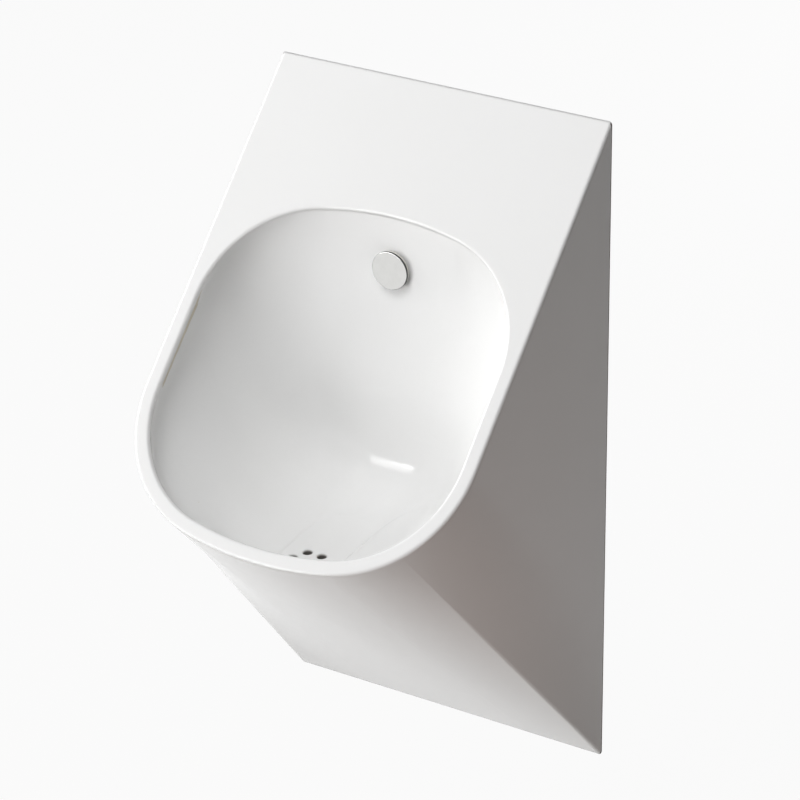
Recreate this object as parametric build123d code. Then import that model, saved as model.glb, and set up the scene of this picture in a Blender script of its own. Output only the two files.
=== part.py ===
# Wall hung urinal with a sloping face, a rear water inlet and a bottle trap behind it.
# Millimetres. X runs to the right of someone who faces it, Y runs into the wall and Z is up.
# The origin is the middle of the lower edge of the back face, which lies on the wall.

import os
from math import atan2, cos, degrees, hypot, radians, sin, sqrt, tan

from build123d import *

# ---- ceramic body: outside
width = 320.0
height = 610.0
depth = 306.9                 # from the wall to the front edge, before it is rounded
front_height = 303.1          # from the lower edge up to the front edge
land = 13.5                   # flat rim between the bowl and the outer edge
wall = 11.0                   # thickness of the ceramic
rim_radius = 2.5              # on the edges round the front face
crease_radius = 3.5           # on the two long edges under the sides

# ---- ceramic body: bowl
bowl_back = 84.0              # from the wall to the back of the bowl
bowl_setback = 2.3            # how far the opening's upper end stands in front of the bowl's back
bowl_sink = 48.6              # from the lip down to the floor
bowl_corner_share = 0.703     # radius of the opening's four corners, of its half width
bowl_end_share = 2.116        # radius of its upper and lower ends, of its half width
bowl_wall = 10.0
bowl_heel = 52.0              # radius between the back wall and the floor
bowl_edge_radius = 2.5        # where the bowl meets the face
bowl_throat = 3.2             # straight depth below the face, before the bowl curves
# Rings between the opening and the floor. Shares: height left on the back wall, height left on the
# lip, half width at the back and at the lip, and how round the back and the lip corners are.
bowl_rings = [
    (0.790, 0.660, 0.995, 0.955, 0.62, 0.68),
    (0.600, 0.440, 0.930, 0.800, 0.62, 0.74),
    (0.375, 0.215, 0.810, 0.590, 0.62, 0.78),
    (0.110, 0.030, 0.420, 0.320, 0.66, 0.86),
]
bowl_back_bulge = 0.055       # how far a ring's end bows out at the back, of its half width
bowl_lip_bulge = 0.11         # the same at the lip
bowl_ring_sink = 0.4          # how far a ring of the outer skin sinks, of the wall
sump_length = 95.0            # patch round the drain holes, which falls to the front
sump_rise = 5.0               # of its rear end
sump_width = 54.0
sump_margin = 17.0            # from the middle of the drain holes to the patch's front end
sump_roundness = 0.9          # of its corners, of its half width

# ---- ceramic body: drain and waste horn
drain_hole_radius = 4.0
drain_pitch = 14.0
drain_edge = 0.8              # the small chamfer at each hole
drain_thickness = 9.0         # of the floor that the holes go through
drain_margin = 20.9           # from the middle of the drain holes to the chamber's front end
chamber_slant = 0.585         # share of the chamber's drop that follows the underside
chamber_half_width = 24.0
chamber_wall = 8.0
horn_distance = 70.0          # from the wall to the axis of horn and trap
horn_bore = 16.0
horn_radius = 23.0
horn_length = 21.0            # below the chamber's floor

# ---- ceramic body: hanger web
web_thickness = 12.0
web_rise = 16.6               # from the inlet's axis up to the web
hanger_spacing = 140.0
hanger_window_width = 42.0
hanger_window_height = 54.0
hanger_window_rise = 8.0      # from the web's lower edge
hanger_window_radius = 5.0

# ---- water spreader
inlet_drop = 48.3             # from the opening's upper end down to the axis of the inlet
seat_depth = 0.6              # spot face in the back of the bowl
seat_radius = 15.0
seat_room = 0.4               # radial, round the front gasket
back_seat_radius = 20.0       # room for a wrench on the back nut
boss_margin = 5.5             # ceramic round that seat
spreader_hole = 11.0
spreader_stem = 10.0
spreader_bore = 7.5
spreader_flange = 16.2
spreader_flange_thickness = 1.6
spreader_gap = 1.2            # the slot that the water leaves by
spreader_lugs = 6
spreader_lug_width = 4.0
spreader_hub = 5.6
spreader_hub_length = 12.0
spreader_reach = 34.0         # from the bowl's back to the threaded end
gasket_thickness = 1.6
cap_radius = 17.0
cap_thickness = 1.8
cap_edge_radius = 0.5
cap_pin_radius = 3.5
cap_pin_length = 11.0
cap_clearance = 0.06          # radial, pin in hub
cap_end_gap = 0.5             # behind the pin
washer_radius = 16.0
washer_thickness = 1.6
back_nut_across = 32.0
back_nut_height = 9.0
corner_ease = 0.8             # how much of a hexagon's corners is turned off
thread_clearance = 0.15       # radial, between a nut and its thread

# ---- inlet pipe and its union
inlet_spigot_radius = 7.5     # the sized end that goes into the fitting in the wall
inlet_spigot_length = 12.0
inlet_pipe_radius = 7.9
inlet_pipe_bore = 6.3
inlet_collar_radius = 9.4
inlet_collar_thickness = 2.0
inlet_washer_thickness = 2.0
union_nut_across = 27.0
union_nut_grip = 9.0          # how far it reaches over the spreader's thread
union_nut_web = 3.0

# ---- bottle trap
trap_gap = 8.05               # upright, from the shell to the cup's lower corner
trap_wall = 3.0
trap_radius = 30.0            # of the head
trap_socket_radius = 26.6
trap_socket_depth = 15.0
trap_shelf = 3.0
trap_chamber_radius = 23.0    # round the dip tube
trap_skirt_radius = 27.0      # the thread for the cup
trap_skirt_length = 14.0
dip_tube_radius = 15.0
dip_tube_bore = 13.2
dip_tube_gap = 10.0           # from its end to the underside of the cup
dip_flange_thickness = 2.5
seal_fit = 0.1                # radial, between a seal and what it grips
waste_seal_top = 2.0          # the seal's flange on the socket's rim
waste_seal_tail = 2.0         # how far it hangs below the horn
horn_entry = 8.0              # how deep the horn stands in the socket
inlet_nut_outer = 35.0
inlet_nut_web = 2.6
inlet_nut_skirt = 11.0
nut_bevel = 1.0
cup_radius = 27.6
cup_wall = 2.4
cup_depth = 22.0              # from its underside to the end of the head's skirt
cup_corner = 8.0
cup_collar_outer = 31.6
cup_collar_drop = 3.0         # how far its collar reaches below the skirt's end
cup_collar_gap = 1.5          # between collar and head
cup_clearance = 0.35          # radial, collar round the skirt
cup_seal_thickness = 2.0
rib_depth = 1.1
rib_width = 2.2
rib_count = 20

# ---- outlet
outlet_rise = 34.0            # from the skirt's end up to the outlet's axis
outlet_cover = 18.0           # from that axis up to the socket's floor
outlet_bore = 13.0
stub_radius = 19.0
stub_mouth = 20.0             # from the wall to the stub's end
outlet_spigot_radius = 16.0   # the sized end that goes into the sleeve in the wall
outlet_spigot_length = 12.0
outlet_pipe_radius = 15.8
outlet_pipe_bore = 14.4
outlet_pipe_length = 46.0
outlet_pipe_clearance = 0.4   # radial, pipe in the stub
outlet_seal_thickness = 4.0
outlet_nut_outer = 23.5
outlet_nut_web = 3.0
outlet_nut_skirt = 12.0

# ---- hangers
bracket_width = 30.0
bracket_thickness = 3.0
bracket_rise = 2.0            # from the window's lower edge to the bracket's
bracket_hole = 4.2
bracket_hole_rise = 20.0      # from the window's lower edge to the screw
bracket_reach = 19.0          # from the wall to the hook's outer face
bracket_lip = 9.0
bracket_bend = 4.0
saddle_thickness = 2.0

# ---- working values
run_out = 1.0                 # how far a cut runs past the faces it goes through
same_place = 0.01             # places closer than this are one place

# ---- what follows from the sizes
slope = atan2(depth, height - front_height)      # between the front face and the wall
rim_front = hypot(depth, height - front_height)  # down the face to the front edge
rise = front_height / depth                      # of the underside
skin = wall * hypot(1, rise)                     # the underside's wall, measured upright
bowl_top = (bowl_back + bowl_setback) / sin(slope)
bowl_bottom = rim_front - land
opening_top = height - bowl_top * cos(slope)
lip_height = height - bowl_bottom * cos(slope)
half_opening = width / 2 - land
bowl_corner = half_opening * bowl_corner_share
bowl_end = half_opening * bowl_end_share
bowl_floor = lip_height - bowl_sink
chamber_roof = bowl_floor - drain_thickness
chamber_front = (chamber_roof - chamber_wall * hypot(1, rise)) / rise
drain_distance = chamber_front - drain_margin
sump_front = drain_distance + sump_margin
sump_slope = atan2(sump_rise, sump_length)
cup_bottom = (horn_distance + cup_radius - cup_corner) * rise + skin + trap_gap
trap_skirt_end = cup_bottom + cup_depth
trap_skirt_top = trap_skirt_end + trap_skirt_length
cup_collar_bottom = trap_skirt_end - cup_collar_drop
cup_collar_top = trap_skirt_top - cup_collar_gap
dip_tube_end = cup_bottom + dip_tube_gap
outlet_height = trap_skirt_end + outlet_rise
trap_socket_floor = outlet_height + outlet_cover
trap_rim = trap_socket_floor + trap_socket_depth
horn_end = trap_rim - horn_entry
chamber_outlet = horn_end + horn_length
inlet_height = opening_top - inlet_drop
spreader_tail = bowl_back - spreader_reach
web_bottom = inlet_height + web_rise
hanger_window_bottom = web_bottom + hanger_window_rise
hanger_window_top = hanger_window_bottom + hanger_window_height
bracket_bottom = hanger_window_bottom + bracket_rise
bracket_hole_height = hanger_window_bottom + bracket_hole_rise


# ---------------------------------------------------------------- helpers
standing = (Align.CENTER, Align.CENTER, Align.MIN)


def face_plane(top):
    """The plane of the sloping face: X across, Y up the slope, from its top edge on the wall."""
    return Plane(origin=(0, 0, top), x_dir=(1, 0, 0), z_dir=(0, -cos(slope), sin(slope)))


def corner_centre(half_width, corner, end):
    """How far the corner arcs' centres lie from the end arc's centre, and where the arcs join."""
    across = half_width - corner
    along = sqrt((end - corner) ** 2 - across ** 2)
    return across, along, end / (end - corner)


def upright(radius, bottom, top, x=0.0, y=0.0):
    """A vertical cylinder between two heights."""
    return Pos(x, y, bottom) * Cylinder(radius, top - bottom, align=standing)


def level(radius, start, end, z, x=0.0):
    """A cylinder along Y between two distances from the wall, the far one first."""
    axis = Plane(origin=(x, -start, z), x_dir=(1, 0, 0), z_dir=(0, 1, 0))
    return axis * Cylinder(radius, start - end, align=standing)


def turned(*points):
    """A ring or cup turned about Z from its half section, given as radius and height."""
    section = Plane.XZ * make_face(Polyline(*points, close=True))
    return revolve(section, Axis.Z)


def ribs(radius, bottom, top, count):
    """Grip ribs round a nut or collar that stands on Z."""
    rib = Pos(0, 0, bottom) * Box(2 * rib_depth, rib_width, top - bottom, align=standing)
    return [place * rib for place in PolarLocations(radius, count)]


def to_pipe(z, y=0.0):
    """Turns what was made about Z so that its top points to the wall, at a height."""
    return Plane(origin=(0, y, z), x_dir=(1, 0, 0), z_dir=(0, 1, 0))


def save(name, *solids):
    """Writes one node."""
    shape = solids[0] if len(solids) == 1 else Compound(children=list(solids))
    export_step(shape, f"parts/{name}.step")


# ---------------------------------------------------------------- ceramic body
def wedge(half_width, top, bottom, front, corner, end):
    """The body's form: a sloping front with a rounded lower end, ruled back to a flat wall side."""
    plane = face_plane(top)
    across, along, reach = corner_centre(half_width, corner, end)
    centre = front - end + along
    middle = radians(45)
    join = atan2(along, across)

    def on_face(x, down):
        return plane.from_local_coords(Vector(x, -down, 0))

    def on_corner(angle):
        return on_face(across + corner * cos(angle), centre + corner * sin(angle))

    def arc(angles, side):
        points = [on_corner(a) for a in angles]
        return Edge.make_three_point_arc(*[Vector(side * p.X, p.Y, p.Z) for p in points])

    side_share = corner * middle / (centre + corner * middle)
    split_z = bottom + (top - bottom) * side_share
    half_end = end * atan2(across * reach, along * reach)
    split_x = half_width * half_end / (half_end + corner * (join - middle))
    upper = (0.0, middle / 2, middle)
    lower = (middle, (middle + join) / 2, join)
    faces = []
    for side in (1, -1):
        edge_top = Vector(side * half_width, 0, top)
        edge_split = Vector(side * half_width, 0, split_z)
        edge_low = Vector(side * half_width, 0, bottom)
        edge_in = Vector(side * split_x, 0, bottom)
        edge_front = on_face(side * half_width, centre)
        sides = [(edge_top, edge_split), (edge_split, edge_front), (edge_front, edge_top)]
        faces.append(Face(Wire([Edge.make_line(a, b) for a, b in sides])))
        for a, b, angles in ((edge_split, edge_low, upper), (edge_low, edge_in, lower)):
            faces.append(Face.make_surface_from_curves(Edge.make_line(a, b), arc(angles, side)))
    join_x = across * reach
    join_down = front - end + along * reach
    nose_places = [(join_x, join_down), (0, front), (-join_x, join_down)]
    nose = Edge.make_three_point_arc(*[on_face(x, down) for x, down in nose_places])
    under = Edge.make_line(Vector(split_x, 0, bottom), Vector(-split_x, 0, bottom))
    faces.append(Face.make_surface_from_curves(under, nose))
    outline = [
        Edge.make_line(on_face(-half_width, 0), on_face(half_width, 0)),
        Edge.make_line(on_face(half_width, 0), on_face(half_width, centre)),
        arc(upper, 1),
        arc(lower, 1),
        nose,
        arc(lower, -1),
        arc(upper, -1),
        Edge.make_line(on_face(-half_width, centre), on_face(-half_width, 0)),
    ]
    faces.append(Face(Wire(outline)))
    right = [(half_width, top), (half_width, split_z), (half_width, bottom), (split_x, bottom)]
    left = [(-x, z) for x, z in reversed(right)]
    back = [Vector(x, 0, z) for x, z in right + left]
    faces.append(Face(Wire([Edge.make_line(a, b) for a, b in zip(back, back[1:] + back[:1])])))
    return Solid(Shell(faces))


def is_on_face(edge):
    """Whether an edge lies on the sloping face."""
    plane = face_plane(height)
    places = [edge.position_at(share) for share in (0, 0.5, 1)]
    return all(abs((p - plane.origin).dot(plane.z_dir)) < same_place for p in places)


def is_in_opening(edge):
    """Whether an edge of the face belongs to the bowl's opening and not to the outer rim."""
    spot = edge.position_at(0.5)
    down = (height - spot.Z) / cos(slope)
    across = abs(spot.X) < half_opening + land / 2
    return across and bowl_top - land / 2 < down < bowl_bottom + land / 2


def is_crease(edge):
    """Whether an edge runs under the body from a lower corner on the wall to the rim."""
    corner = Vector(width / 2, 0, 0)
    ends = [Vector(*vertex) for vertex in edge.vertices()]
    on_corner = any((Vector(abs(p.X), p.Y, p.Z) - corner).length < same_place for p in ends)
    return on_corner and edge.center().Y < -same_place


def outer_form():
    """The outside, with the bowl's throat, its creases and the edges of the face rounded."""
    body = wedge(width / 2, height, 0.0, rim_front, bowl_corner + land, bowl_end + land)
    body = body.fillet(crease_radius, [e for e in body.edges() if is_crease(e)])
    rim = [e for e in body.edges() if is_on_face(e) and e.center().Z < height - run_out]
    body = body.fillet(rim_radius, rim)
    inward = -face_plane(height).z_dir * bowl_throat
    body = body - Solid.extrude(Face(opening_ring(0.0, 0.0)), inward)
    opening = [e for e in body.edges() if is_on_face(e) and is_in_opening(e)]
    return body.fillet(bowl_edge_radius, opening)


def inner_form():
    """The hollow behind the shell, one wall inside the outer form and open to the wall."""
    apex = slope + atan2(depth, front_height)
    top = height - wall / sin(slope)
    front = rim_front - wall / tan(slope) - wall / tan(apex / 2)
    corner = bowl_corner + land - wall
    end = bowl_end + land - wall
    return wedge(width / 2 - wall, top, skin, front, corner, end)


def opening_ring(grow, depth):
    """The bowl's outline at a depth below the face: end arcs, corner arcs and straight sides."""
    across, along, reach = corner_centre(half_opening + grow, bowl_corner + grow, bowl_end + grow)
    plane = face_plane(height).offset(-depth)
    top = -(bowl_top - grow)
    low = -(bowl_bottom + grow)
    corner = bowl_corner + grow
    end = bowl_end + grow
    half = half_opening + grow
    upper = top - end + along
    lower = low + end - along
    slant = atan2(along, across) / 2
    out = across + corner * cos(slant)
    rise = corner * sin(slant)
    join = (across * reach, top - end + along * reach)
    join_low = (across * reach, low + end - along * reach)

    def arc(a, b, c):
        return Edge.make_three_point_arc(*[Vector(x, y, 0) for x, y in (a, b, c)])

    edges = [
        arc((-join[0], join[1]), (0, top), join),
        arc(join, (out, upper + rise), (half, upper)),
        Edge.make_line((half, upper, 0), (half, lower, 0)),
        arc((half, lower), (out, lower - rise), join_low),
        arc(join_low, (0, low), (-join_low[0], join_low[1])),
        arc((-join_low[0], join_low[1]), (-out, lower - rise), (-half, lower)),
        Edge.make_line((-half, lower, 0), (-half, upper, 0)),
        arc((-half, upper), (-out, upper + rise), (-join[0], join[1])),
    ]
    return plane.from_local_coords(Wire(edges))


def bowl_ring(back, front, half_back, half_front, round_back, round_front, grow, sink):
    """One ring of the bowl between a point of its back and a point of its lip, in their plane."""
    run = (back - front).length
    along = (back - front).normalized()
    normal = Vector(1, 0, 0).cross(along)
    plane = Plane(origin=front - normal * sink, x_dir=(1, 0, 0), z_dir=normal)
    back_half = half_back + grow
    front_half = half_front + grow
    far = run + grow
    far_side = far - half_back * bowl_back_bulge
    near_side = half_front * bowl_lip_bulge - grow
    edges = [
        Edge.make_three_point_arc((-back_half, far_side), (0, far), (back_half, far_side)),
        Edge.make_line((back_half, far_side), (front_half, near_side)),
        Edge.make_three_point_arc((front_half, near_side), (0, -grow), (-front_half, near_side)),
        Edge.make_line((-front_half, near_side), (-back_half, far_side)),
    ]
    face = Face(Wire(edges))
    far_corners = [v for v in face.vertices() if v.Y > run / 2]
    face = face.fillet_2d(half_back * round_back + grow, far_corners)
    near = [Vector(side * front_half, near_side, 0) for side in (1, -1)]
    near_corners = [v for v in face.vertices()
                    if min((Vector(*v) - place).length for place in near) < same_place]
    face = face.fillet_2d(half_front * round_front + grow, near_corners)
    return plane.from_local_coords(face.outer_wire())


def bowl_form(grow=0.0):
    """The space of the bowl, a loft from its throat down to the patch round the drain."""
    lip = Vector(0, -bowl_bottom * sin(slope), lip_height)
    rings = [opening_ring(grow, 0.0 if grow else bowl_throat)]
    for back_share, lip_share, back_width, lip_width, back_round, lip_round in bowl_rings:
        left = (opening_top - bowl_floor) * back_share
        inset = bowl_heel - sqrt(bowl_heel ** 2 - max(0.0, bowl_heel - left) ** 2)
        back = Vector(0, -bowl_back - inset, bowl_floor + left)
        drop = bowl_sink * (1 - lip_share)
        front = Vector(0, lip.Y + drop / rise, lip.Z - drop)
        rings.append(bowl_ring(back, front, half_opening * back_width, half_opening * lip_width,
                               back_round, lip_round, grow, grow * bowl_ring_sink))
    front = Vector(0, -sump_front, bowl_floor)
    back = Vector(0, -sump_front + sump_length, bowl_floor + sump_rise)
    rings.append(bowl_ring(back, front, sump_width / 2, sump_width / 2,
                           sump_roundness, sump_roundness, grow, grow))
    return Solid.make_loft(rings)


def chamber_section(grow):
    """Section of the waste chamber: it follows the underside, then falls to the horn."""
    drop = (chamber_roof - chamber_outlet) * chamber_slant
    turn = (-chamber_front + drop / rise, chamber_roof - drop)
    points = [
        (-chamber_front, chamber_roof),
        turn,
        (-horn_distance - horn_bore, chamber_outlet),
        (-horn_distance + horn_bore, chamber_outlet),
        (-horn_distance + horn_bore, chamber_roof),
    ]
    section = make_face(Polyline(*points, close=True))
    if grow:
        section = offset(section, grow, kind=Kind.ARC)
    return Plane.YZ * section


def waste_passage():
    """Space of the chamber and the bore of the horn."""
    chamber = extrude(chamber_section(0), chamber_half_width, both=True)
    return [chamber, upright(horn_bore, horn_end - wall, chamber_outlet + wall, y=-horn_distance)]


def waste_casing():
    """Ceramic round the waste passage."""
    casing = extrude(chamber_section(chamber_wall), chamber_half_width + chamber_wall, both=True)
    return [casing, upright(horn_radius, horn_end, chamber_outlet + wall, y=-horn_distance)]


def drain_holes():
    """Seven holes square to the sloping patch, two, three and two, each with a chamfered edge."""
    row = drain_pitch * sin(radians(60))
    places = [(x * drain_pitch, -drain_distance + y * row)
              for x, y in ((-0.5, 1), (0.5, 1), (-1, 0), (0, 0), (1, 0), (-0.5, -1), (0.5, -1))]
    hole = upright(drain_hole_radius, -drain_thickness - wall, wall)
    flare = Cone(drain_hole_radius, drain_hole_radius + 2 * drain_edge, 2 * drain_edge, align=standing)
    flare = Pos(0, 0, -drain_edge) * flare
    tools = []
    for x, y in places:
        surface = bowl_floor + (sump_front + y) * tan(sump_slope)
        square = Pos(x, y, surface) * Rot(X=degrees(sump_slope))
        tools += [square * hole, square * flare]
    return tools


def hanger_web():
    """Plate across the back, above the inlet, that the hooks hold."""
    web = Box(width, web_thickness, height - web_bottom, align=(Align.CENTER, Align.MAX, Align.MIN))
    return Pos(0, 0, web_bottom) * web


def hanger_windows():
    """Openings in the web for the two hooks."""
    window = Box(hanger_window_width, 2 * web_thickness, hanger_window_height, align=standing)
    window = fillet(window.edges().filter_by(Axis.Y), hanger_window_radius)
    return [Pos(side * hanger_spacing / 2, 0, hanger_window_bottom) * window for side in (-1, 1)]


def spreader_seat():
    """Hole for the spreader, the flat that its gasket seals on and the flat for the back nut."""
    hole = level(spreader_hole, bowl_back + wall, bowl_back - bowl_wall - wall, inlet_height)
    front = level(seat_radius, bowl_back + wall, bowl_back - seat_depth, inlet_height)
    rear = level(back_seat_radius, bowl_back - bowl_wall, bowl_back - bowl_wall - wall, inlet_height)
    return [hole, front, rear]


def spreader_boss():
    """Thick spot behind the bowl for the back nut's seat."""
    return level(back_seat_radius + boss_margin, bowl_back, bowl_back - bowl_wall, inlet_height)


def ceramic_body():
    """The glazed body: shell, bowl, waste chamber with its horn, and hanger web."""
    hollow = inner_form()
    for kept in [bowl_form(bowl_wall), hanger_web(), spreader_boss()] + waste_casing():
        hollow = hollow - kept
    body = outer_form() - hollow - bowl_form()
    for cut in waste_passage() + drain_holes() + hanger_windows() + spreader_seat():
        body = body - cut
    return body


# ---------------------------------------------------------------- water spreader
def spreader_body():
    """Flanged threaded tube through the back of the bowl, with lugs and a hub for the cap."""
    seat = bowl_back - seat_depth + gasket_thickness
    flange_face = seat + spreader_flange_thickness
    body = level(spreader_stem, seat, spreader_tail, inlet_height)
    body = body + level(spreader_flange, flange_face, seat, inlet_height)
    body = body - level(spreader_bore, flange_face, spreader_tail, inlet_height)
    turn = Plane(origin=(0, -flange_face, inlet_height), x_dir=(1, 0, 0), z_dir=(0, -1, 0))
    lug = Box(spreader_stem - spreader_bore, spreader_lug_width, spreader_gap,
              align=(Align.MIN, Align.CENTER, Align.MIN))
    for place in PolarLocations(spreader_bore, spreader_lugs):
        body = body + turn * (place * lug)
    hub = level(spreader_hub, flange_face, flange_face - spreader_hub_length, inlet_height)
    spoke = Box(spreader_bore + spreader_stem, spreader_flange_thickness, spreader_hub_length / 2,
                align=(Align.CENTER, Align.CENTER, Align.MAX))
    for place in PolarLocations(0, spreader_lugs // 2, angular_range=180):
        hub = hub + turn * (place * spoke)
    bore = level(cap_pin_radius + cap_clearance, flange_face + run_out,
                 flange_face - cap_pin_length - cap_end_gap, inlet_height)
    return body + (hub - bore)


def spreader_cap():
    """Plain round cap on a pin that turns in the hub."""
    base = bowl_back - seat_depth + gasket_thickness + spreader_flange_thickness + spreader_gap
    plate = level(cap_radius, base + cap_thickness, base, inlet_height)
    plate = fillet(plate.edges().filter_by(GeomType.CIRCLE).sort_by(Axis.Y)[0], cap_edge_radius)
    pin = level(cap_pin_radius, base, base - spreader_gap - cap_pin_length, inlet_height)
    return plate + pin


def washer_at(outer, inner, start, end):
    """A ring on the inlet's axis."""
    hole = level(inner, start + run_out, end - run_out, inlet_height)
    return level(outer, start, end, inlet_height) - hole


def front_gasket():
    """Rubber ring between the spreader's flange and the glaze."""
    seat = bowl_back - seat_depth
    return washer_at(seat_radius - seat_room, spreader_stem + seal_fit, seat + gasket_thickness, seat)


def rear_gasket():
    """Rubber ring behind the bowl."""
    start = bowl_back - bowl_wall
    return washer_at(washer_radius, spreader_stem + seal_fit, start, start - gasket_thickness)


def back_washer():
    """Flat washer under the back nut."""
    start = bowl_back - bowl_wall - gasket_thickness
    return washer_at(washer_radius, spreader_stem + thread_clearance, start, start - washer_thickness)


def hexagon(across, start, end, z):
    """A hexagon bar along Y, with its corners eased."""
    axis = Plane(origin=(0, -start, z), x_dir=(1, 0, 0), z_dir=(0, 1, 0))
    corner = across / sqrt(3)
    bar = extrude(axis * RegularPolygon(corner, 6), start - end)
    ease = level(corner, start, end, z)
    ease = chamfer(ease.edges().filter_by(GeomType.CIRCLE), (corner - across / 2) * corner_ease)
    return bar & ease


def back_nut():
    """Hexagon nut that draws the spreader against the bowl."""
    start = bowl_back - bowl_wall - gasket_thickness - washer_thickness
    end = start - back_nut_height
    nut = hexagon(back_nut_across, start, end, inlet_height)
    return nut - level(spreader_stem + thread_clearance, start + run_out, end - run_out, inlet_height)


# ---------------------------------------------------------------- inlet pipe
def inlet_washer():
    """Fibre washer between the spreader's end and the pipe's collar."""
    end = spreader_tail - inlet_washer_thickness
    return washer_at(inlet_collar_radius, inlet_pipe_bore, spreader_tail, end)


def inlet_pipe():
    """Supply pipe from the wall, with the collar that the union nut pulls on."""
    start = spreader_tail - inlet_washer_thickness
    pipe = level(inlet_pipe_radius, start, inlet_spigot_length, inlet_height)
    pipe = pipe + level(inlet_spigot_radius, inlet_spigot_length, 0, inlet_height)
    pipe = pipe + level(inlet_collar_radius, start, start - inlet_collar_thickness, inlet_height)
    return pipe - level(inlet_pipe_bore, start + run_out, -run_out, inlet_height)


def union_nut():
    """Hexagon union nut over the spreader's thread and behind the pipe's collar."""
    start = spreader_tail + union_nut_grip
    collar = spreader_tail - inlet_washer_thickness - inlet_collar_thickness
    nut = hexagon(union_nut_across, start, collar - union_nut_web, inlet_height)
    nut = nut - level(spreader_stem + thread_clearance, start + run_out, collar, inlet_height)
    return nut - level(inlet_pipe_radius + thread_clearance, collar, -run_out, inlet_height)


# ---------------------------------------------------------------- bottle trap, made about Z
def at_trap(solid):
    """Moves what was made about Z to the trap's axis."""
    return Pos(0, -horn_distance, 0) * solid


def trap_head():
    """Head of the trap: socket for the horn, chamber, skirt for the cup and outlet stub."""
    ceiling = trap_socket_floor - trap_shelf
    head = turned((trap_chamber_radius, trap_skirt_end), (trap_skirt_radius, trap_skirt_end),
                  (trap_skirt_radius, trap_skirt_top), (trap_radius, trap_skirt_top + trap_wall),
                  (trap_radius, trap_rim), (trap_socket_radius, trap_rim),
                  (trap_socket_radius, trap_socket_floor), (dip_tube_radius + seal_fit, trap_socket_floor),
                  (dip_tube_radius + seal_fit, ceiling), (trap_chamber_radius, ceiling))
    head = at_trap(head)
    root = horn_distance - trap_chamber_radius - trap_wall / 2
    stub = level(stub_radius, root, stub_mouth, outlet_height)
    stub = stub - at_trap(upright(trap_chamber_radius, trap_skirt_end, trap_rim))
    stub = stub - at_trap(upright(trap_socket_radius, trap_socket_floor, trap_rim))
    way = level(outlet_bore, horn_distance - dip_tube_radius, 0, outlet_height)
    socket = level(outlet_spigot_radius + outlet_pipe_clearance, outlet_pipe_length, 0, outlet_height)
    inside = at_trap(upright(trap_chamber_radius, trap_skirt_end - run_out, ceiling))
    return (head + stub) - way - (socket - inside)


def waste_seal():
    """Rubber ring with a flange, squeezed between the horn and the socket."""
    bottom = horn_end - waste_seal_tail
    top = trap_rim + waste_seal_top
    inner = horn_radius + seal_fit
    return at_trap(turned((inner, bottom), (trap_socket_radius - seal_fit, bottom),
                          (trap_socket_radius - seal_fit, trap_rim), (trap_radius, trap_rim),
                          (trap_radius, top), (inner, top)))


def inlet_nut():
    """Ribbed nut that squeezes the waste seal."""
    top = trap_rim + waste_seal_top
    bottom = top - inlet_nut_skirt
    inner = trap_radius + thread_clearance
    crown = top + inlet_nut_web
    throat = horn_radius + thread_clearance
    nut = turned((inner, bottom), (inlet_nut_outer, bottom), (inlet_nut_outer, crown - nut_bevel),
                 (inlet_nut_outer - nut_bevel, crown), (throat, crown), (throat, top), (inner, top))
    for rib in ribs(inlet_nut_outer, bottom, top, rib_count):
        nut = nut + rib
    return at_trap(nut)


def dip_tube():
    """Flanged tube that takes the waste down into the cup."""
    top = trap_socket_floor + dip_flange_thickness
    flange = trap_socket_radius - seal_fit
    return at_trap(turned((dip_tube_bore, dip_tube_end), (dip_tube_radius, dip_tube_end),
                          (dip_tube_radius, trap_socket_floor), (flange, trap_socket_floor),
                          (flange, top), (dip_tube_bore, top)))


def trap_cup():
    """Cup with a ribbed collar that screws on the head's skirt."""
    mouth = trap_skirt_end - cup_seal_thickness
    inner = cup_radius - cup_wall
    grip = trap_skirt_radius + cup_clearance
    floor = cup_bottom + cup_wall
    cup = turned((0, cup_bottom), (cup_radius - cup_corner, cup_bottom),
                 (cup_radius, cup_bottom + cup_corner), (cup_radius, cup_collar_bottom),
                 (cup_collar_outer, cup_collar_bottom), (cup_collar_outer, cup_collar_top),
                 (grip, cup_collar_top), (grip, mouth), (inner, mouth),
                 (inner, cup_bottom + cup_corner), (inner - cup_corner + cup_wall, floor), (0, floor))
    for rib in ribs(cup_collar_outer, cup_collar_bottom, cup_collar_top, rib_count):
        cup = cup + rib
    return at_trap(cup)


def cup_seal():
    """Flat ring between the cup and the head's skirt."""
    bottom = trap_skirt_end - cup_seal_thickness
    top = trap_skirt_end
    inner = cup_radius - cup_wall
    return at_trap(turned((inner, bottom), (trap_skirt_radius, bottom),
                          (trap_skirt_radius, top), (inner, top)))


# ---------------------------------------------------------------- outlet
def outlet_ring(outer, inner, start, end):
    """A ring on the outlet's axis."""
    hole = level(inner, start + run_out, end - run_out, outlet_height)
    return level(outer, start, end, outlet_height) - hole


def outlet_seal():
    """Rubber ring on the stub's end, round the outlet pipe."""
    return outlet_ring(stub_radius - seal_fit, outlet_pipe_radius + seal_fit / 2, stub_mouth,
                       stub_mouth - outlet_seal_thickness)


def outlet_nut():
    """Ribbed nut that squeezes the outlet seal."""
    face = stub_mouth - outlet_seal_thickness
    length = outlet_nut_skirt + outlet_nut_web
    inner = stub_radius + thread_clearance
    throat = outlet_spigot_radius + outlet_pipe_clearance
    nut = turned((inner, 0), (outlet_nut_outer, 0), (outlet_nut_outer, length - nut_bevel),
                 (outlet_nut_outer - nut_bevel, length), (throat, length),
                 (throat, outlet_nut_skirt), (inner, outlet_nut_skirt))
    for rib in ribs(outlet_nut_outer, 0, outlet_nut_skirt, rib_count):
        nut = nut + rib
    return to_pipe(outlet_height, -face - outlet_nut_skirt) * nut


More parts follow.
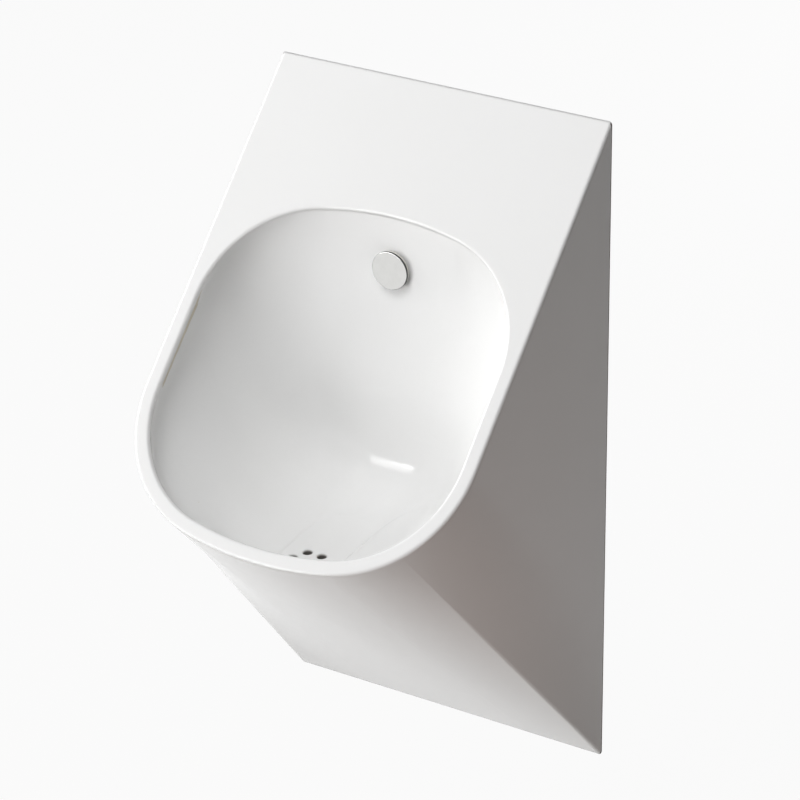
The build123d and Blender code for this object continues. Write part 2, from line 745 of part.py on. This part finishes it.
def outlet_pipe():
    """Waste pipe that slides in the stub and into the wall."""
    pipe = outlet_ring(outlet_pipe_radius, outlet_pipe_bore, outlet_pipe_length, outlet_spigot_length)
    return pipe + outlet_ring(outlet_spigot_radius, outlet_pipe_bore, outlet_spigot_length, 0)


# ---------------------------------------------------------------- hangers
def hanger_bracket():
    """Bent steel strip: a plate on the wall, a shelf and an upturned lip."""
    shelf = hanger_window_top - saddle_thickness
    under = shelf - bracket_thickness
    inner_reach = bracket_reach - bracket_thickness
    section = [(0, bracket_bottom), (0, shelf), (-inner_reach, shelf), (-inner_reach, shelf + bracket_lip),
               (-bracket_reach, shelf + bracket_lip), (-bracket_reach, under), (-bracket_thickness, under),
               (-bracket_thickness, bracket_bottom)]
    strip = extrude(Plane.YZ * make_face(Polyline(*section, close=True)), bracket_width / 2, both=True)
    for distance, radius in ((bracket_reach, bracket_bend), (bracket_thickness, bracket_bend / 2)):
        bend = [e for e in strip.edges().filter_by(Axis.X)
                if abs(e.center().Z - under) < same_place and abs(e.center().Y + distance) < same_place]
        strip = fillet(bend, radius)
    return strip - level(bracket_hole, bracket_thickness + run_out, -run_out, bracket_hole_height)


def saddle():
    """Nylon saddle on the shelf that the ceramic rests on."""
    shelf = hanger_window_top - saddle_thickness
    plate = Box(bracket_width, web_thickness, saddle_thickness, align=(Align.CENTER, Align.MAX, Align.MIN))
    return Pos(0, 0, shelf) * plate


def pair(solid):
    """Left and right copies at the hangers' places."""
    return [Pos(side * hanger_spacing / 2, 0, 0) * solid for side in (-1, 1)]


def build():
    os.makedirs("parts", exist_ok=True)
    save("ceramic_body", ceramic_body())
    save("spreader_body", spreader_body())
    save("spreader_cap", spreader_cap())
    save("spreader_front_gasket", front_gasket())
    save("spreader_rear_gasket", rear_gasket())
    save("spreader_washer", back_washer())
    save("spreader_nut", back_nut())
    save("inlet_washer", inlet_washer())
    save("inlet_pipe", inlet_pipe())
    save("inlet_union_nut", union_nut())
    save("waste_seal", waste_seal())
    save("trap_inlet_nut", inlet_nut())
    save("trap_head", trap_head())
    save("trap_dip_tube", dip_tube())
    save("trap_cup", trap_cup())
    save("trap_cup_seal", cup_seal())
    save("outlet_seal", outlet_seal())
    save("outlet_nut", outlet_nut())
    save("outlet_pipe", outlet_pipe())
    save("hanger_brackets", *pair(hanger_bracket()))
    save("hanger_saddles", *pair(saddle()))


build()
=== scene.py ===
import bpy
from math import cos, radians, sin
from mathutils import Matrix, Vector


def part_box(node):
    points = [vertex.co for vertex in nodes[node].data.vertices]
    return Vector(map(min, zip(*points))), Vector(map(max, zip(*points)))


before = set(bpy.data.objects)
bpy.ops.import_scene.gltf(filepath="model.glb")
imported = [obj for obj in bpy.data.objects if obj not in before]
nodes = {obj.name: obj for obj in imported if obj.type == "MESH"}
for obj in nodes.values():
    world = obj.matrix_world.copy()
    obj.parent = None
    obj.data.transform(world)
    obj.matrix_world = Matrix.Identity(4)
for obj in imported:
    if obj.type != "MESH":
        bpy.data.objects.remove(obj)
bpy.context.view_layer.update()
print("frame loaded:", len(nodes), "nodes")

mm = 0.001  # lengths in the dictionaries of the finishes are millimetres, those of the room are metres
slant = sin(radians(45))  # the face and the underside both stand at 45 degrees to the wall


def linear(hexColour):
    channels = [int(hexColour[i:i + 2], 16) / 255 for i in (1, 3, 5)]
    return [c / 12.92 if c <= 0.04045 else ((c + 0.055) / 1.055) ** 2.4 for c in channels] + [1.0]


def addNode(tree, kind, settings=None, **links):
    # settings holds socket names, socket numbers or attributes; links gives a socket's name, or "at" and
    # its number, and the output that feeds it
    node = tree.nodes.new(kind)
    given = settings or {}
    for name in [n for n in given if not isinstance(n, int) and n not in node.inputs]:
        setattr(node, name, given[name])
    for name, value in given.items():
        if isinstance(name, int) or name in node.inputs:
            node.inputs[name].default_value = value
    for name, output in links.items():
        socket = int(name[2:]) if name[:2] == "at" and name[2:].isdigit() else name.replace("_", " ")
        tree.links.new(output, node.inputs[socket])
    return node


def newMaterial(name):
    material = bpy.data.materials.new(name)
    material.use_nodes = True
    tree = material.node_tree
    place = addNode(tree, "ShaderNodeTexCoord").outputs["Object"]
    return material, tree, tree.nodes["Principled BSDF"], place


def dress(material, *names):
    for name in names:
        slots = nodes[name].data.materials
        slots.clear()
        slots.append(material)


def middleOf(name):
    low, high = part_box(name)
    return [(a + b) / 2 for a, b in zip(low, high)]


def scaleOf(size):
    # a pattern's scale from the size of what it repeats
    return 1 / (size * mm)


def joinShares(tree, operation, shares):
    # MINIMUM where all of them have to hold, MAXIMUM where one is enough
    joined = shares[0]
    for share in shares[1:]:
        joined = addNode(tree, "ShaderNodeMath", {"operation": operation}, at0=joined,
                         at1=share).outputs[0]
    return joined


# vitreous china under a thick clear glaze: pale, deep and smooth, with a very slow waviness where the
# glaze ran before it set; the hollow back and the edge on the wall are bare, so dull, creamy and sandy
china = {"glaze": "#f3f3f3", "thinGlaze": "#efefee", "driftSize": 150.0, "roughness": 0.1, "ior": 1.52,
         "waveLength": 55.0, "waveHeight": 0.10, "relief": 0.5, "edgeRadius": 2.5,
         "body": "#d9d3c6", "bodyStain": "#c2b8a6", "stainSize": 28.0, "bodyRoughness": 0.8,
         "grainSize": 0.9, "grainHeight": 0.05}
# the bare hollow is told from the glazed bowl by where a surface is, as distances from the wall behind
# the body, the middle plane, the face and the lower edge, and by how far it looks back, from -1 to 1
hollow = {"shell": 5.0, "start": 79.0, "top": 259.0, "flat": 48.0, "rise": 0.6, "looksOut": -0.1,
          "looksBack": 0.08, "bowlMiddle": (0.0, -190.0, 400.0), "bowlSide": 148.7, "bowlFront": 215.0,
          "cornerSide": 130.0, "cornerDepth": 60.0, "sumpSide": 98.0, "sumpDepth": 50.0}
# the edge that lies on the wall is ground flat and bare; where it turns to both sides it is painted dark,
# as painted shade where the edge turns away towards the wall
groundEdge = {"edgeShade": "#6f6763", "depth": 1.3, "looksAside": 0.5}
# the walls of the drain holes are painted grey below the floor, as painted shade for the dark drain
# beneath them; fall is how steeply the bowl's floor runs down to the front
drain = {"holeShade": "#827e7a", "middle": (0.0, -225.0, 265.2), "reach": 19.5, "fall": 0.0526,
         "startDepth": 0.4, "fullDepth": 2.5}


def makeHollowShare(tree, place, looks):
    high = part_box("ceramic_body")[1]
    at = addNode(tree, "ShaderNodeSeparateXYZ", Vector=place).outputs
    facing = addNode(tree, "ShaderNodeSeparateXYZ", Vector=looks).outputs["Y"]
    across = addNode(tree, "ShaderNodeMath", {"operation": "ABSOLUTE"}, Value=at["X"]).outputs[0]
    # both of these grow inwards, one from the face and one from the underside
    underFace = addNode(tree, "ShaderNodeVectorMath", {"operation": "DOT_PRODUCT", 1: (0, slant, -slant)},
                        Vector=place).outputs["Value"]
    faceLevel = -slant * high[2]
    overUnder = addNode(tree, "ShaderNodeVectorMath", {"operation": "DOT_PRODUCT", 1: (0, slant, slant)},
                        Vector=place).outputs["Value"]
    # the hollow's top rises to both sides of the sump, but less steeply than the bowl does
    offFlat = addNode(tree, "ShaderNodeMath", {"operation": "SUBTRACT", 1: hollow["flat"] * mm},
                      Value=across)
    pastFlat = addNode(tree, "ShaderNodeMath", {"operation": "MAXIMUM", 1: 0.0}, Value=offFlat.outputs[0])
    levelled = addNode(tree, "ShaderNodeMath", {"operation": "MULTIPLY_ADD", 1: -hollow["rise"]},
                       at0=pastFlat.outputs[0], at2=at["Z"]).outputs[0]
    # the bowl's wall turns its outer side away from the middle of the bowl
    fromBowl = addNode(tree, "ShaderNodeVectorMath",
                       {"operation": "SUBTRACT", 1: [v * mm for v in hollow["bowlMiddle"]]}, Vector=place)
    outward = addNode(tree, "ShaderNodeVectorMath", {"operation": "DOT_PRODUCT"}, at0=fromBowl.outputs[0],
                      at1=looks).outputs["Value"]
    tests = {"inSides": (across, "LESS_THAN", high[0] - hollow["shell"] * mm),
             "inFace": (underFace, "GREATER_THAN", faceLevel + hollow["shell"] * mm),
             "inUnder": (overUnder, "GREATER_THAN", hollow["shell"] * mm),
             "towardsWall": (facing, "GREATER_THAN", hollow["looksOut"]),
             "behindBowl": (at["Y"], "GREATER_THAN", -hollow["start"] * mm),
             "underBowl": (levelled, "LESS_THAN", hollow["top"] * mm),
             "outerSide": (outward, "GREATER_THAN", 0.0),
             "besideBowl": (across, "GREATER_THAN", hollow["bowlSide"] * mm),
             "towardsCorner": (across, "GREATER_THAN", hollow["cornerSide"] * mm),
             "farUnderFace": (underFace, "GREATER_THAN", faceLevel + hollow["cornerDepth"] * mm),
             "lookingBack": (facing, "GREATER_THAN", hollow["looksBack"]),
             "behindFront": (at["Y"], "GREATER_THAN", -hollow["bowlFront"] * mm),
             "besideSump": (across, "GREATER_THAN", hollow["sumpSide"] * mm),
             "wellUnderFace": (underFace, "GREATER_THAN", faceLevel + hollow["sumpDepth"] * mm)}
    holds = {name: addNode(tree, "ShaderNodeMath", {"operation": comparison, 1: limit},
                           Value=value).outputs[0]
             for name, (value, comparison, limit) in tests.items()}
    # each group alone is enough to be off the bowl's glazed wall: low in the shell's front corners the
    # bowl is far off, and what looks back at the wall there is the inner side of the underside
    groups = [["behindBowl"], ["underBowl"], ["outerSide"], ["besideBowl"],
              ["towardsCorner", "farUnderFace"], ["lookingBack", "behindFront"],
              ["lookingBack", "besideSump", "wellUnderFace"]]
    offBowl = [joinShares(tree, "MINIMUM", [holds[name] for name in group]) for group in groups]
    inShell = [holds[name] for name in ("inSides", "inFace", "inUnder", "towardsWall")]
    return joinShares(tree, "MINIMUM", inShell + [joinShares(tree, "MAXIMUM", offBowl)])


def makeEdgeShares(tree, place, looks):
    at = addNode(tree, "ShaderNodeSeparateXYZ", Vector=place).outputs
    facing = addNode(tree, "ShaderNodeSeparateXYZ", Vector=looks).outputs
    aside = addNode(tree, "ShaderNodeMath", {"operation": "ABSOLUTE"}, Value=facing["X"]).outputs[0]
    asideOrBack = joinShares(tree, "MAXIMUM", [aside, facing["Y"]])
    nearWall, onGround, onSide = [
        addNode(tree, "ShaderNodeMath", {"operation": "GREATER_THAN", 1: limit}, Value=value).outputs[0]
        for value, limit in ((at["Y"], -groundEdge["depth"] * mm), (asideOrBack, groundEdge["looksAside"]),
                             (aside, groundEdge["looksAside"]))]
    onEdge = joinShares(tree, "MINIMUM", [nearWall, onGround])
    # the second share is the sideways strip of that edge, which is painted dark as shade
    return onEdge, joinShares(tree, "MINIMUM", [onEdge, onSide])


def makeDrainShare(tree, place):
    fromDrain = addNode(tree, "ShaderNodeVectorMath",
                        {"operation": "SUBTRACT", 1: [v * mm for v in drain["middle"]]}, Vector=place)
    away = addNode(tree, "ShaderNodeVectorMath", {"operation": "LENGTH"}, Vector=fromDrain.outputs[0])
    nearDrain = addNode(tree, "ShaderNodeMath", {"operation": "LESS_THAN", 1: drain["reach"] * mm},
                        Value=away.outputs["Value"])
    overFloor = addNode(tree, "ShaderNodeVectorMath",
                        {"operation": "DOT_PRODUCT", 1: (0, -drain["fall"], 1)},
                        Vector=fromDrain.outputs[0])
    belowFloor = addNode(tree, "ShaderNodeMapRange", {"From Min": -drain["startDepth"] * mm,
                                                      "From Max": -drain["fullDepth"] * mm},
                         Value=overFloor.outputs["Value"])
    return joinShares(tree, "MINIMUM", [nearDrain.outputs[0], belowFloor.outputs[0]])


def makeChina():
    material, tree, shader, place = newMaterial("glazedVitreousChina")
    looks = place.node.outputs["Normal"]
    onEdge, onSideEdge = makeEdgeShares(tree, place, looks)
    bare = joinShares(tree, "MAXIMUM", [makeHollowShare(tree, place, looks), onEdge])
    drift = addNode(tree, "ShaderNodeTexNoise", {"Scale": scaleOf(china["driftSize"]), "Detail": 1.0},
                    Vector=place)
    glaze = addNode(tree, "ShaderNodeMix", {"data_type": "RGBA", 6: linear(china["glaze"]),
                                            7: linear(china["thinGlaze"])}, at0=drift.outputs["Fac"])
    stain = addNode(tree, "ShaderNodeTexNoise", {"Scale": scaleOf(china["stainSize"]), "Detail": 4.0},
                    Vector=place)
    body = addNode(tree, "ShaderNodeMix", {"data_type": "RGBA", 6: linear(china["body"]),
                                           7: linear(china["bodyStain"])}, at0=stain.outputs["Fac"])
    # painted shade: the sideways strip of the ground edge is darkened
    bodyEdgeShaded = addNode(tree, "ShaderNodeMix", {"data_type": "RGBA", 7: linear(groundEdge["edgeShade"])},
                    at0=onSideEdge, at6=body.outputs[2])
    colour = addNode(tree, "ShaderNodeMix", {"data_type": "RGBA"}, at0=bare, at6=glaze.outputs[2],
                     at7=bodyEdgeShaded.outputs[2])
    # painted shade: the walls of the drain holes are painted grey
    drainShaded = addNode(tree, "ShaderNodeMix", {"data_type": "RGBA", 7: linear(drain["holeShade"])},
                     at0=makeDrainShare(tree, place), at6=colour.outputs[2])
    rough = addNode(tree, "ShaderNodeMapRange", {"To Min": china["roughness"],
                                                 "To Max": china["bodyRoughness"]}, Value=bare)
    wave = addNode(tree, "ShaderNodeTexNoise", {"Scale": scaleOf(china["waveLength"]), "Detail": 0.5},
                   Vector=place)
    grain = addNode(tree, "ShaderNodeTexNoise", {"Scale": scaleOf(china["grainSize"]), "Detail": 2.0},
                    Vector=place)
    sand = addNode(tree, "ShaderNodeMath",
                   {"operation": "MULTIPLY", 1: china["grainHeight"] / china["waveHeight"]},
                   Value=grain.outputs["Fac"])
    height = addNode(tree, "ShaderNodeMix", {"data_type": "FLOAT"}, at0=bare, at2=wave.outputs["Fac"],
                     at3=sand.outputs[0])
    # the thick glaze rounds every edge and fills every crease
    soft = addNode(tree, "ShaderNodeBevel", {"samples": 4, "Radius": china["edgeRadius"] * mm})
    bump = addNode(tree, "ShaderNodeBump", {"Strength": china["relief"],
                                            "Distance": china["waveHeight"] * mm},
                   Height=height.outputs[0], Normal=soft.outputs[0])
    tree.links.new(drainShaded.outputs[2], shader.inputs["Base Color"])
    tree.links.new(rough.outputs[0], shader.inputs["Roughness"])
    tree.links.new(bump.outputs[0], shader.inputs["Normal"])
    shader.inputs["IOR"].default_value = china["ior"]
    return material


dress(makeChina(), "ceramic_body")
print("china glazed")

# metals: lines from the lathe or the drawing die, and a dull film that gathers in patches and shows as a
# change of gloss; lines closer than 0.3 mm are drawn at 0.3 mm so that they show at all
metals = {"filmStart": 0.38, "filmFull": 0.72, "relief": 0.6, "lineWobble": 1.2}
capPlate = {"name": "polishedChromePlate", "colour": "#dededc", "film": "#dadad8", "filmSize": 9.0,
            "roughness": (0.06, 0.1), "linePitch": 0.3, "lineHeight": 0.0006, "lines": "rings",
            "direction": "Y",
            "rim": ((0.0, "#4a4a4b"), (0.16, "#3a3a3b"), (0.24, "#f4f4f4"), (0.36, "#f4f4f4"),
                    (0.44, "#3f3f40"), (0.56, "#4c4c4d"), (0.66, "#98999a"), (1.0, "#a6a7a8")),
            "rimLooks": (-0.97, -0.85)}
tubeChrome = {"name": "drawnChromedTube", "colour": "#d9dadc", "film": "#bfc1c3", "filmSize": 14.0,
              "roughness": (0.08, 0.26), "linePitch": 0.3, "lineHeight": 0.0008, "lines": "rings",
              "direction": "Y"}
nutBrass = {"name": "turnedBrass", "colour": "#cfac62", "film": "#8f6a35", "filmSize": 6.0,
            "roughness": (0.24, 0.46), "linePitch": 0.4, "lineHeight": 0.004, "lines": "rings",
            "direction": "Y"}
hookZinc = {"name": "zincPlatedSteel", "colour": "#bcc1c5", "film": "#a8a58f", "filmSize": 11.0,
            "roughness": (0.28, 0.5), "linePitch": 0.6, "lineHeight": 0.003, "lines": "bands",
            "direction": "X"}
waveStep = 0.31416  # a wave texture repeats every 0.314 of a unit at a scale of 1


def paintRimReflection(tree, look, place, plain):
    # the cap's rim is painted in bands along its depth, dark with one white band: painted reflection and
    # painted highlight
    low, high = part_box("spreader_cap")
    at = addNode(tree, "ShaderNodeSeparateXYZ", Vector=place)
    depth = addNode(tree, "ShaderNodeMapRange", {"From Min": low[1], "From Max": high[1]},
                    Value=at.outputs["Y"])
    rimBands = addNode(tree, "ShaderNodeValToRGB", Fac=depth.outputs[0])
    stops = rimBands.color_ramp.elements
    while len(stops) < len(look["rim"]):
        stops.new(0.5)
    for stop, (position, colour) in zip(stops, look["rim"]):
        stop.position = position
        stop.color = linear(colour)
    facing = addNode(tree, "ShaderNodeSeparateXYZ", Vector=place.node.outputs["Normal"])
    front, side = look["rimLooks"]
    onRim = addNode(tree, "ShaderNodeMapRange", {"From Min": front, "From Max": side},
                    Value=facing.outputs["Y"])
    return addNode(tree, "ShaderNodeMix", {"data_type": "RGBA"}, at0=onRim.outputs[0],
                   at6=plain.outputs[2], at7=rimBands.outputs["Color"])


def makeMetal(look, centre):
    material, tree, shader, place = newMaterial(look["name"])
    centred = addNode(tree, "ShaderNodeVectorMath", {"operation": "SUBTRACT", 1: centre}, Vector=place)
    film = addNode(tree, "ShaderNodeTexNoise", {"Scale": scaleOf(look["filmSize"]), "Detail": 5.0,
                                                "Roughness": 0.6}, Vector=place)
    patches = addNode(tree, "ShaderNodeMapRange", {"From Min": metals["filmStart"],
                                                   "From Max": metals["filmFull"]},
                      Value=film.outputs["Fac"]).outputs[0]
    colour = addNode(tree, "ShaderNodeMix", {"data_type": "RGBA", 6: linear(look["colour"]),
                                             7: linear(look["film"])}, at0=patches)
    # painted reflection: the cap's rim gets dark and white bands
    if "rim" in look:
        colour = paintRimReflection(tree, look, place, colour)
    clean, dull = look["roughness"]
    rough = addNode(tree, "ShaderNodeMapRange", {"To Min": clean, "To Max": dull}, Value=patches)
    lines = addNode(tree, "ShaderNodeTexWave",
                    {"wave_type": look["lines"].upper(), look["lines"] + "_direction": look["direction"],
                     "Scale": waveStep * scaleOf(look["linePitch"]), "Distortion": metals["lineWobble"],
                     "Detail": 1.0, "Detail Scale": 0.4}, Vector=centred.outputs[0])
    bump = addNode(tree, "ShaderNodeBump", {"Strength": metals["relief"],
                                            "Distance": look["lineHeight"] * mm},
                   Height=lines.outputs["Fac"])
    tree.links.new(colour.outputs[2], shader.inputs["Base Color"])
    tree.links.new(rough.outputs[0], shader.inputs["Roughness"])
    tree.links.new(bump.outputs[0], shader.inputs["Normal"])
    shader.inputs["Metallic"].default_value = 1.0
    return material


inletAxis = middleOf("spreader_cap")
dress(makeMetal(capPlate, inletAxis), "spreader_cap")
dress(makeMetal(tubeChrome, inletAxis), "inlet_pipe")
dress(makeMetal(nutBrass, inletAxis), "spreader_nut", "inlet_union_nut")
dress(makeMetal(hookZinc, inletAxis), "hanger_brackets")
print("metals made")

# moulded plastics: the fine matt of a spark eroded mould, drawn coarser than it is so that it shows, soft
# flow marks, and the raised line where the two halves of the mould met; acetal is a little waxy,
# polypropylene milky, nylon dull
plastics = {"flowStart": 0.3, "flowFull": 0.7, "relief": 0.7, "waxyReach": (2.0, 2.0, 1.8)}
acetal = {"name": "mouldedAcetal", "colour": "#ebebe6", "shade": "#dedcd3", "roughness": (0.3, 0.42),
          "grainSize": 0.7, "grainHeight": 0.006, "flowSize": 12.0, "seamWidth": 0.0, "seamHeight": 0.0,
          "waxy": 0.06}
polypropylene = {"name": "mouldedPolypropylene", "colour": "#e9e9e4", "shade": "#d9d7cd",
                 "roughness": (0.38, 0.55), "grainSize": 0.8, "grainHeight": 0.012, "flowSize": 26.0,
                 "seamWidth": 0.25, "seamHeight": 0.08, "waxy": 0.1}
greyNylon = {"name": "greyNylon", "colour": "#8f8f8c", "shade": "#7c7b78", "roughness": (0.5, 0.66),
             "grainSize": 0.8, "grainHeight": 0.015, "flowSize": 9.0, "seamWidth": 0.0, "seamHeight": 0.0,
             "waxy": 0.0}


def makePlastic(look):
    material, tree, shader, place = newMaterial(look["name"])
    flow = addNode(tree, "ShaderNodeTexNoise", {"Scale": scaleOf(look["flowSize"]), "Detail": 3.0,
                                                "Distortion": 0.8}, Vector=place)
    colour = addNode(tree, "ShaderNodeMix", {"data_type": "RGBA", 6: linear(look["colour"]),
                                             7: linear(look["shade"])}, at0=flow.outputs["Fac"])
    smooth, matt = look["roughness"]
    rough = addNode(tree, "ShaderNodeMapRange", {"From Min": plastics["flowStart"],
                                                 "From Max": plastics["flowFull"], "To Min": smooth,
                                                 "To Max": matt}, Value=flow.outputs["Fac"])
    grain = addNode(tree, "ShaderNodeTexNoise", {"Scale": scaleOf(look["grainSize"]), "Detail": 2.0},
                    Vector=place)
    height = grain.outputs["Fac"]
    if look["seamWidth"]:
        at = addNode(tree, "ShaderNodeSeparateXYZ", Vector=place)
        across = addNode(tree, "ShaderNodeMath", {"operation": "ABSOLUTE"}, Value=at.outputs["X"])
        ridge = addNode(tree, "ShaderNodeMapRange",
                        {"From Min": look["seamWidth"] * mm, "From Max": 0.0, "To Min": 0.0,
                         "To Max": look["seamHeight"] / look["grainHeight"]}, Value=across.outputs[0])
        height = addNode(tree, "ShaderNodeMath", {"operation": "ADD"}, at0=height,
                         at1=ridge.outputs[0]).outputs[0]
    bump = addNode(tree, "ShaderNodeBump", {"Strength": plastics["relief"],
                                            "Distance": look["grainHeight"] * mm}, Height=height)
    tree.links.new(colour.outputs[2], shader.inputs["Base Color"])
    tree.links.new(rough.outputs[0], shader.inputs["Roughness"])
    tree.links.new(bump.outputs[0], shader.inputs["Normal"])
    shader.inputs["Subsurface Weight"].default_value = look["waxy"]
    shader.inputs["Subsurface Radius"].default_value = [v * mm for v in plastics["waxyReach"]]
    return material


dress(makePlastic(acetal), "spreader_body", "spreader_washer")
dress(makePlastic(polypropylene), "trap_inlet_nut", "trap_head", "trap_dip_tube", "trap_cup", "outlet_nut",
      "outlet_pipe")
dress(makePlastic(greyNylon), "hanger_saddles")
print("plastics made")

softs = {"bloomStart": 0.35, "bloomFull": 0.7, "relief": 0.6}
# moulded rubber, near black with a grey bloom in patches and fine pores; the front gasket is a paler mix
blackRubber = {"name": "mouldedRubber", "colour": "#18191b", "bloom": "#2f3032", "bloomSize": 8.0,
               "roughness": (0.5, 0.72), "poreSize": 0.8, "poreDepth": 0.02}
greyRubber = {"name": "greyMouldedRubber", "colour": "#2c2c2c", "bloom": "#454443", "bloomSize": 5.0,
              "roughness": (0.45, 0.68), "poreSize": 0.8, "poreDepth": 0.02}
# pressed vulcanised fibre: dull red, mottled darker, with small pits
redFibre = {"name": "pressedRedFibre", "colour": "#8a3324", "bloom": "#612015", "bloomSize": 1.4,
            "roughness": (0.7, 0.88), "poreSize": 0.6, "poreDepth": 0.03}


def makeSoft(look):
    material, tree, shader, place = newMaterial(look["name"])
    bloom = addNode(tree, "ShaderNodeTexNoise", {"Scale": scaleOf(look["bloomSize"]), "Detail": 4.0},
                    Vector=place)
    patches = addNode(tree, "ShaderNodeMapRange", {"From Min": softs["bloomStart"],
                                                   "From Max": softs["bloomFull"]},
                      Value=bloom.outputs["Fac"]).outputs[0]
    colour = addNode(tree, "ShaderNodeMix", {"data_type": "RGBA", 6: linear(look["colour"]),
                                             7: linear(look["bloom"])}, at0=patches)
    shiny, dull = look["roughness"]
    rough = addNode(tree, "ShaderNodeMapRange", {"To Min": shiny, "To Max": dull}, Value=patches)
    pores = addNode(tree, "ShaderNodeTexVoronoi", {"Scale": scaleOf(look["poreSize"])}, Vector=place)
    bump = addNode(tree, "ShaderNodeBump", {"Strength": softs["relief"],
                                            "Distance": look["poreDepth"] * mm},
                   Height=pores.outputs["Distance"])
    tree.links.new(colour.outputs[2], shader.inputs["Base Color"])
    tree.links.new(rough.outputs[0], shader.inputs["Roughness"])
    tree.links.new(bump.outputs[0], shader.inputs["Normal"])
    return material


dress(makeSoft(blackRubber), "spreader_rear_gasket", "waste_seal", "trap_cup_seal", "outlet_seal")
dress(makeSoft(greyRubber), "spreader_front_gasket")
dress(makeSoft(redFibre), "inlet_washer")
print("rubbers and fibre made")

# room: pale floor well below the hanging body, soft lamps and a white surround that gives no light of its
# own; a lamp whose disc would show as a hard patch in the glaze or the metal isn't mirrored
room = {"floorDrop": 0.35, "floorSize": 40.0, "floorColour": "#9c9b99", "floorRoughness": 0.9,
        "floorGlow": 0.94, "surround": "#ffffff", "ambient": 0.0}
lamps = [
    {"name": "lowLamp", "place": (-1.8, -3.1, -0.1), "aim": (0, -0.15, 0.35), "size": (2.4, 2.4),
     "power": 74.0, "colour": "#ffffff", "mirrored": True},
    {"name": "overheadLamp", "place": (-0.4, -1.9, 3.6), "aim": (0, -0.15, 0.35), "size": (2.0, 2.0),
     "power": 81.0, "colour": "#ffffff", "mirrored": False},
    {"name": "sideLamp", "place": (-3.4, -0.6, 1.4), "aim": (0, -0.15, 0.35), "size": (2.0, 2.0),
     "power": 62.0, "colour": "#ffffff", "mirrored": True},
    {"name": "stripLamp", "place": (-1.55, -3.0, 1.15), "aim": (0, -0.09, 0.3), "size": (0.9, 1.1),
     "power": 9.0, "colour": "#ffffff", "mirrored": True},
    {"name": "warmLamp", "place": (0.5, -0.45, 0.12), "aim": (0.16, -0.25, 0.3), "size": (0.3, 0.3),
     "power": 0.22, "colour": "#ffd0bc", "mirrored": False},
    {"name": "backLamp", "place": (0, 3.2, 0.6), "aim": (0, 0, 0.3), "size": (1.6, 1.6), "power": 65.0,
     "colour": "#ffffff", "mirrored": False},
]
camera = {"azimuth": 31.857, "elevation": 27.047, "roll": -0.812, "lens": 154.4,
          "place": (1.37532, -2.28885, 1.67903)}


def seenRays(tree):
    # 1 for rays that show the white surround: from the camera, in reflections and through glass
    path = addNode(tree, "ShaderNodeLightPath").outputs
    rays = [path[kind] for kind in ("Is Camera Ray", "Is Glossy Ray", "Is Transmission Ray")]
    return joinShares(tree, "MAXIMUM", rays)


def makeFloor():
    half = room["floorSize"] / 2
    z = -room["floorDrop"]
    mesh = bpy.data.meshes.new("studioFloor")
    corners = [(-half, -half, z), (half, -half, z), (half, half, z), (-half, half, z)]
    mesh.from_pydata(corners, [], [range(len(corners))])
    floor = bpy.data.objects.new("studioFloor", mesh)
    bpy.context.scene.collection.objects.link(floor)
    material, tree, shader = newMaterial("paintedStudioFloor")[:3]
    shader.inputs["Base Color"].default_value = linear(room["floorColour"])
    shader.inputs["Roughness"].default_value = room["floorRoughness"]
    # the floor looks nearly as pale as the surround and still keeps a little of the shadow
    glow = addNode(tree, "ShaderNodeEmission", {"Color": linear(room["surround"]), "Strength": 1.0})
    share = addNode(tree, "ShaderNodeMath", {"operation": "MULTIPLY", 1: room["floorGlow"]},
                    at0=seenRays(tree))
    mix = addNode(tree, "ShaderNodeMixShader", at0=share.outputs[0], at1=shader.outputs[0],
                  at2=glow.outputs[0])
    tree.links.new(mix.outputs[0], tree.nodes["Material Output"].inputs["Surface"])
    mesh.materials.append(material)


def makeWorld():
    world = bpy.data.worlds.new("whiteSurround")
    bpy.context.scene.world = world
    world.use_nodes = True
    tree = world.node_tree
    ambient = tree.nodes["Background"]
    ambient.inputs["Color"].default_value = linear(room["surround"])
    ambient.inputs["Strength"].default_value = room["ambient"]
    bright = addNode(tree, "ShaderNodeBackground", {"Color": linear(room["surround"]), "Strength": 1.0})
    mix = addNode(tree, "ShaderNodeMixShader", at0=seenRays(tree), at1=ambient.outputs[0],
                  at2=bright.outputs[0])
    tree.links.new(mix.outputs[0], tree.nodes["World Output"].inputs["Surface"])


def makeLamps():
    for lamp in lamps:
        data = bpy.data.lights.new(lamp["name"], "AREA")
        data.shape = "ELLIPSE"
        data.size, data.size_y = lamp["size"]
        data.energy = lamp["power"]
        data.color = linear(lamp["colour"])[:3]
        light = bpy.data.objects.new(lamp["name"], data)
        light.visible_glossy = lamp["mirrored"]
        light.location = lamp["place"]
        aim = Vector(lamp["aim"]) - light.location
        light.rotation_euler = aim.to_track_quat("-Z", "Y").to_euler()
        bpy.context.scene.collection.objects.link(light)


def makeCamera():
    a, e, r = (radians(camera[k]) for k in ("azimuth", "elevation", "roll"))
    back = Vector((sin(a) * cos(e), -cos(a) * cos(e), sin(e)))
    right = Vector((cos(a), sin(a), 0))
    up = back.cross(right)
    turnedRight = right * cos(r) + up * sin(r)
    turnedUp = up * cos(r) - right * sin(r)
    data = bpy.data.cameras.new("mainCamera")
    data.lens = camera["lens"]
    eye = bpy.data.objects.new("mainCamera", data)
    pose = Matrix((turnedRight, turnedUp, back)).transposed().to_4x4()
    pose.translation = camera["place"]
    eye.matrix_world = pose
    bpy.context.scene.collection.objects.link(eye)
    bpy.context.scene.camera = eye


makeFloor()
makeWorld()
makeLamps()
makeCamera()
bpy.context.scene.view_settings.view_transform = "Standard"
print("room, lamps and camera made")
